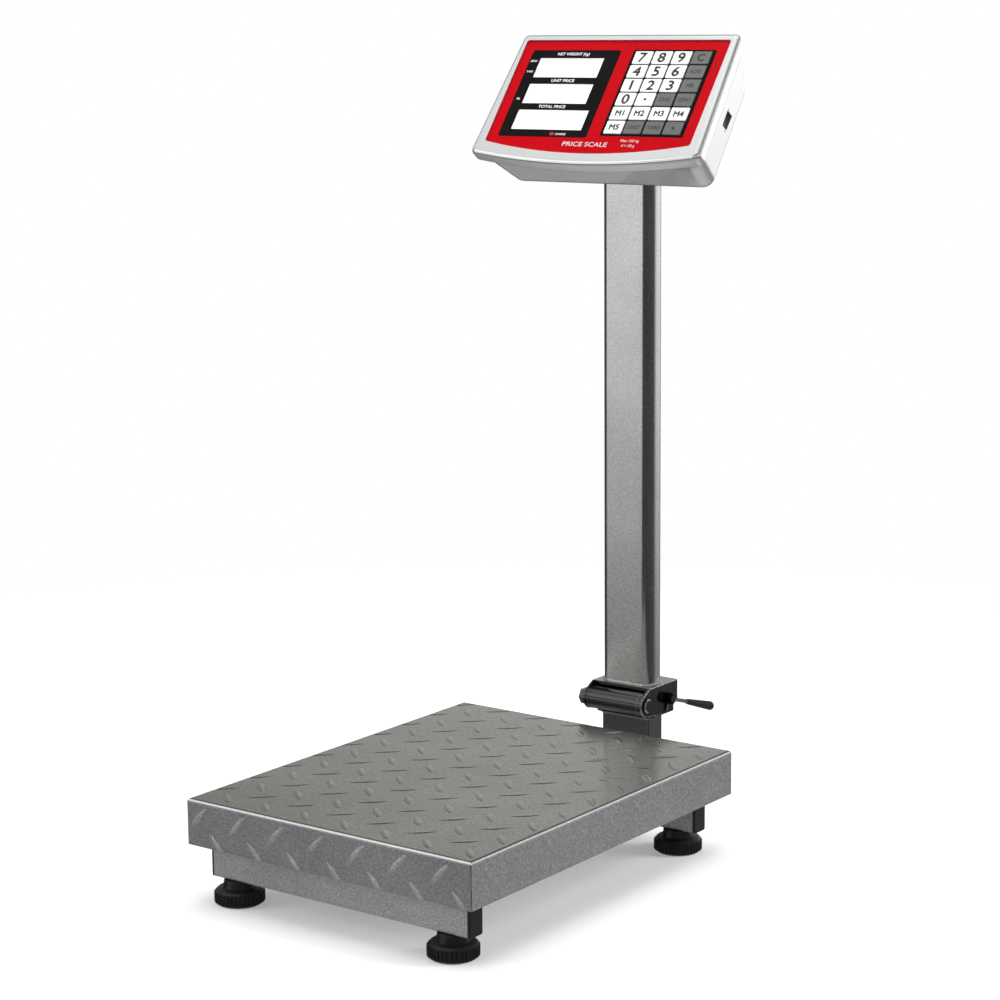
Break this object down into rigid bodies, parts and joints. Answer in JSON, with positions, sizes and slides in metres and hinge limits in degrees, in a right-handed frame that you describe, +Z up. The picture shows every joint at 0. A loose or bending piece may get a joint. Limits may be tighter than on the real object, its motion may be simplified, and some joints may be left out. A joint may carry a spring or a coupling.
{
  "type": "platform scale",
  "caption": "Floor platform scale with a treadplate pan, screw feet, a folding column with lock lever, and a tilted price-computing display and keypad head.",
  "frame": {"origin": "on the floor, under the middle of the whole outline from the pan's front edge to the lever grip's end", "axes": "+Z up, +X to the right of a person who reads the display, +Y from the pan's front edge towards the column"},
  "size_m": [0.35, 0.587, 0.8334],
  "materials": {
    "pan_paint": "hammertone paint on checker plate",
    "frame_paint": "hammertone silver-grey paint",
    "column_paint": "hammertone silver-grey paint",
    "black_steel": "gloss black paint",
    "steel": "zinc plated",
    "load_cell_alloy": "milled",
    "pad_rubber": "matte",
    "black_plastic": "moulded",
    "foot_plastic": "moulded, ribbed",
    "case_plastic": "glossy silver-white",
    "overlay_red": "printed red, satin gloss",
    "lcd_glass": "pale, unlit",
    "board_green": "solder mask",
    "battery_case": "moulded",
    "key_white": "white cap, black print",
    "key_grey": "dark grey cap"
  },
  "bodies": {
    "base": {"front_frame_tube": "frame_paint", "rear_frame_tube": "frame_paint", "frame_rails": "frame_paint", "load_cell_plate": "frame_paint", "tube_end_plugs": "black_plastic", "foot_inserts": "steel", "load_cell": "load_cell_alloy", "load_cell_bolts": "steel", "upper_frame": "frame_paint", "pan_pads": "pad_rubber", "column_arm": "frame_paint", "post": "frame_paint", "hinge_seat": "black_steel", "hinge_barrel": "black_steel", "hinge_pin": "black_steel", "lock_bolt": "steel"},
    "pan": {"weighing_pan": "pan_paint"},
    "column": {"column_bracket": "black_steel", "column_tube": "column_paint", "head_mount_plate": "black_steel", "head_rear_case": "case_plastic", "head_front_case": "case_plastic", "face_overlay": "overlay_red", "lcd_panels": "lcd_glass", "main_board": "board_green", "battery": "battery_case", "head_screws": "steel", "charge_socket": "black_plastic", "power_switch_body": "case_plastic"},
    "lever": {"lock_lever": "steel", "lever_grip": "black_plastic"},
    "rocker": {"power_rocker": "black_plastic"},
    "foot_front_left": {"foot_front_left": "foot_plastic"},
    "foot_front_right": {"foot_front_right": "foot_plastic"},
    "foot_rear_left": {"foot_rear_left": "foot_plastic"},
    "foot_rear_right": {"foot_rear_right": "foot_plastic"},
    "key_7": {"key_7": "key_white"},
    "key_8": {"key_8": "key_white"},
    "key_9": {"key_9": "key_white"},
    "key_clear": {"key_clear": "key_grey"},
    "key_4": {"key_4": "key_white"},
    "key_5": {"key_5": "key_white"},
    "key_6": {"key_6": "key_white"},
    "key_add": {"key_add": "key_grey"},
    "key_1": {"key_1": "key_white"},
    "key_2": {"key_2": "key_white"},
    "key_3": {"key_3": "key_white"},
    "key_recall": {"key_recall": "key_grey"},
    "key_0": {"key_0": "key_white"},
    "key_point": {"key_point": "key_white"},
    "key_change": {"key_change": "key_grey"},
    "key_zero": {"key_zero": "key_grey"},
    "key_m1": {"key_m1": "key_white"},
    "key_m2": {"key_m2": "key_white"},
    "key_m3": {"key_m3": "key_white"},
    "key_m4": {"key_m4": "key_white"},
    "key_m5": {"key_m5": "key_white"},
    "key_unit": {"key_unit": "key_grey"},
    "key_tare": {"key_tare": "key_grey"},
    "key_light": {"key_light": "key_grey"}
  },
  "joints": [
    {"name": "pan_lift", "type": "slide", "parent": "base", "child": "pan", "axis": [0, 0, 1], "range_m": [0, 0.025]},
    {"name": "column_fold", "type": "hinge", "parent": "base", "child": "column", "pos_m": [0, 0.2035, 0.121], "axis": [1, 0, 0], "range_deg": [0, 90]},
    {"name": "lock_lever_turn", "type": "hinge", "parent": "base", "child": "lever", "pos_m": [0.044, 0.2415, 0.122], "axis": [1, 0, 0], "range_deg": [0, 110]},
    {"name": "power_switch_rock", "type": "hinge", "parent": "column", "child": "rocker", "pos_m": [0.123, 0.21491, 0.74744], "axis": [0, -0.7955, 0.606], "range_deg": [0, 14]},
    {"name": "foot_front_left_level", "type": "slide", "parent": "base", "child": "foot_front_left", "axis": [0, 0, -1], "range_m": [0, 0.01]},
    {"name": "foot_front_right_level", "type": "slide", "parent": "base", "child": "foot_front_right", "axis": [0, 0, -1], "range_m": [0, 0.01]},
    {"name": "foot_rear_left_level", "type": "slide", "parent": "base", "child": "foot_rear_left", "axis": [0, 0, -1], "range_m": [0, 0.01]},
    {"name": "foot_rear_right_level", "type": "slide", "parent": "base", "child": "foot_rear_right", "axis": [0, 0, -1], "range_m": [0, 0.01]},
    {"name": "key_7_press", "type": "slide", "parent": "column", "child": "key_7", "axis": [0, 0.7955, -0.606], "range_m": [0, 0.001], "stiffness_N_per_m": 500, "springref_m": -0.0005},
    {"name": "key_8_press", "type": "slide", "parent": "column", "child": "key_8", "axis": [0, 0.7955, -0.606], "range_m": [0, 0.001], "stiffness_N_per_m": 500, "springref_m": -0.0005},
    {"name": "key_9_press", "type": "slide", "parent": "column", "child": "key_9", "axis": [0, 0.7955, -0.606], "range_m": [0, 0.001], "stiffness_N_per_m": 500, "springref_m": -0.0005},
    {"name": "key_clear_press", "type": "slide", "parent": "column", "child": "key_clear", "axis": [0, 0.7955, -0.606], "range_m": [0, 0.001], "stiffness_N_per_m": 500, "springref_m": -0.0005},
    {"name": "key_4_press", "type": "slide", "parent": "column", "child": "key_4", "axis": [0, 0.7955, -0.606], "range_m": [0, 0.001], "stiffness_N_per_m": 500, "springref_m": -0.0005},
    {"name": "key_5_press", "type": "slide", "parent": "column", "child": "key_5", "axis": [0, 0.7955, -0.606], "range_m": [0, 0.001], "stiffness_N_per_m": 500, "springref_m": -0.0005},
    {"name": "key_6_press", "type": "slide", "parent": "column", "child": "key_6", "axis": [0, 0.7955, -0.606], "range_m": [0, 0.001], "stiffness_N_per_m": 500, "springref_m": -0.0005},
    {"name": "key_add_press", "type": "slide", "parent": "column", "child": "key_add", "axis": [0, 0.7955, -0.606], "range_m": [0, 0.001], "stiffness_N_per_m": 500, "springref_m": -0.0005},
    {"name": "key_1_press", "type": "slide", "parent": "column", "child": "key_1", "axis": [0, 0.7955, -0.606], "range_m": [0, 0.001], "stiffness_N_per_m": 500, "springref_m": -0.0005},
    {"name": "key_2_press", "type": "slide", "parent": "column", "child": "key_2", "axis": [0, 0.7955, -0.606], "range_m": [0, 0.001], "stiffness_N_per_m": 500, "springref_m": -0.0005},
    {"name": "key_3_press", "type": "slide", "parent": "column", "child": "key_3", "axis": [0, 0.7955, -0.606], "range_m": [0, 0.001], "stiffness_N_per_m": 500, "springref_m": -0.0005},
    {"name": "key_recall_press", "type": "slide", "parent": "column", "child": "key_recall", "axis": [0, 0.7955, -0.606], "range_m": [0, 0.001], "stiffness_N_per_m": 500, "springref_m": -0.0005},
    {"name": "key_0_press", "type": "slide", "parent": "column", "child": "key_0", "axis": [0, 0.7955, -0.606], "range_m": [0, 0.001], "stiffness_N_per_m": 500, "springref_m": -0.0005},
    {"name": "key_point_press", "type": "slide", "parent": "column", "child": "key_point", "axis": [0, 0.7955, -0.606], "range_m": [0, 0.001], "stiffness_N_per_m": 500, "springref_m": -0.0005},
    {"name": "key_change_press", "type": "slide", "parent": "column", "child": "key_change", "axis": [0, 0.7955, -0.606], "range_m": [0, 0.001], "stiffness_N_per_m": 500, "springref_m": -0.0005},
    {"name": "key_zero_press", "type": "slide", "parent": "column", "child": "key_zero", "axis": [0, 0.7955, -0.606], "range_m": [0, 0.001], "stiffness_N_per_m": 500, "springref_m": -0.0005},
    {"name": "key_m1_press", "type": "slide", "parent": "column", "child": "key_m1", "axis": [0, 0.7955, -0.606], "range_m": [0, 0.001], "stiffness_N_per_m": 500, "springref_m": -0.0005},
    {"name": "key_m2_press", "type": "slide", "parent": "column", "child": "key_m2", "axis": [0, 0.7955, -0.606], "range_m": [0, 0.001], "stiffness_N_per_m": 500, "springref_m": -0.0005},
    {"name": "key_m3_press", "type": "slide", "parent": "column", "child": "key_m3", "axis": [0, 0.7955, -0.606], "range_m": [0, 0.001], "stiffness_N_per_m": 500, "springref_m": -0.0005},
    {"name": "key_m4_press", "type": "slide", "parent": "column", "child": "key_m4", "axis": [0, 0.7955, -0.606], "range_m": [0, 0.001], "stiffness_N_per_m": 500, "springref_m": -0.0005},
    {"name": "key_m5_press", "type": "slide", "parent": "column", "child": "key_m5", "axis": [0, 0.7955, -0.606], "range_m": [0, 0.001], "stiffness_N_per_m": 500, "springref_m": -0.0005},
    {"name": "key_unit_press", "type": "slide", "parent": "column", "child": "key_unit", "axis": [0, 0.7955, -0.606], "range_m": [0, 0.001], "stiffness_N_per_m": 500, "springref_m": -0.0005},
    {"name": "key_tare_press", "type": "slide", "parent": "column", "child": "key_tare", "axis": [0, 0.7955, -0.606], "range_m": [0, 0.001], "stiffness_N_per_m": 500, "springref_m": -0.0005},
    {"name": "key_light_press", "type": "slide", "parent": "column", "child": "key_light", "axis": [0, 0.7955, -0.606], "range_m": [0, 0.001], "stiffness_N_per_m": 500, "springref_m": -0.0005}
  ]
}
